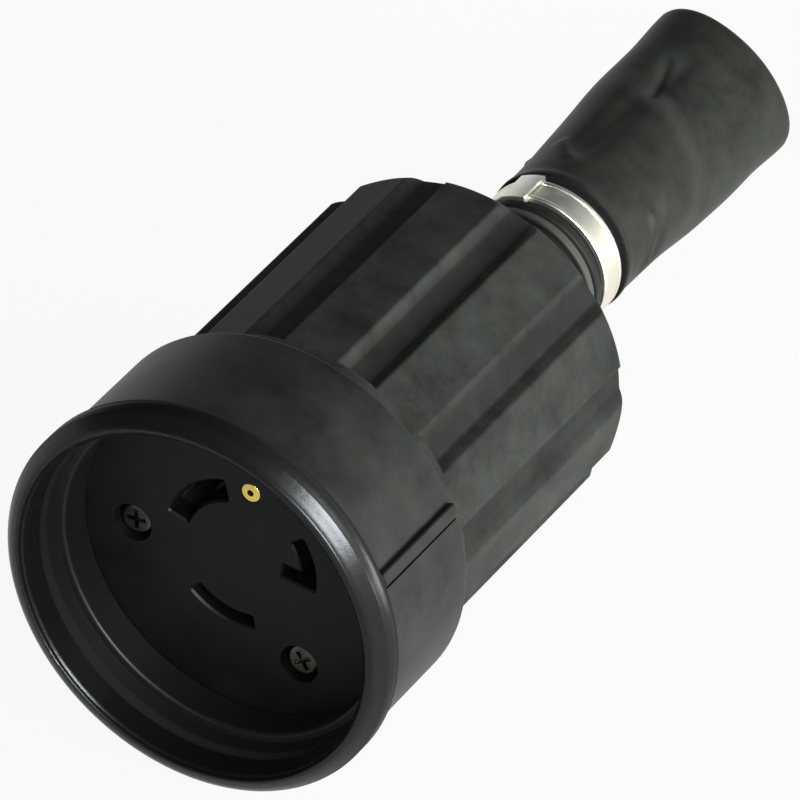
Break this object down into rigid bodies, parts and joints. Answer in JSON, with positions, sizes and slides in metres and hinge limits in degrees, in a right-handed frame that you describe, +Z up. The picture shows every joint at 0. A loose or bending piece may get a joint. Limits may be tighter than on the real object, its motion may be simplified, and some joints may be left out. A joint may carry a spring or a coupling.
{
  "type": "industrial cable coupler",
  "caption": "Black twist-lock cable coupler socket with a flared rubber hood, curved blade slots, a fluted grip and a clamped rubber cable sleeve.",
  "frame": {"origin": "middle of the bounding box's underside, on the floor that the coupler lies on", "axes": "+Y runs from the socket face to the cable sleeve, nearly along the coupler's axis, which dips about 3 degrees to the rear; +Z is up as it lies"},
  "size_m": [0.071, 0.1792, 0.0711],
  "materials": {
    "hood_rubber": "smooth semi-gloss black",
    "grip_rubber": "satin black, fine moulded grain",
    "boot_rubber": "soft matte black",
    "seal_rubber": "matte black",
    "face_plastic": "moulded satin black",
    "carrier_plastic": "moulded brown insulating plastic",
    "contact_brass": "plain rolled brass",
    "rivet_brass": "bright brass",
    "band_steel": "bright rolled steel",
    "screw_steel": "bright turned steel"
  },
  "bodies": {
    "root": {"band_clip": "band_steel", "base_screw_left": "screw_steel", "base_screw_right": "screw_steel", "clamp_band": "band_steel", "clamp_nut": "screw_steel", "clamp_plate_ground": "contact_brass", "clamp_plate_line": "contact_brass", "clamp_plate_neutral": "contact_brass", "clamp_screw": "screw_steel", "contact_carrier": "carrier_plastic", "contact_ground": "contact_brass", "contact_line": "contact_brass", "contact_neutral": "contact_brass", "cord_boot": "boot_rubber", "cord_grip_base": "carrier_plastic", "cord_grip_saddle": "carrier_plastic", "face_rivet": "rivet_brass", "face_screw_left": "screw_steel", "face_screw_right": "screw_steel", "face_screw_top": "screw_steel", "front_hood": "hood_rubber", "grip_housing": "grip_rubber", "saddle_screw_left": "screw_steel", "saddle_screw_right": "screw_steel", "screw_insert_left": "contact_brass", "screw_insert_right": "contact_brass", "screw_insert_top": "contact_brass", "seal_ring": "seal_rubber", "socket_face": "face_plastic", "terminal_screw_ground": "screw_steel", "terminal_screw_line": "screw_steel", "terminal_screw_neutral": "screw_steel"}
  },
  "joints": []
}
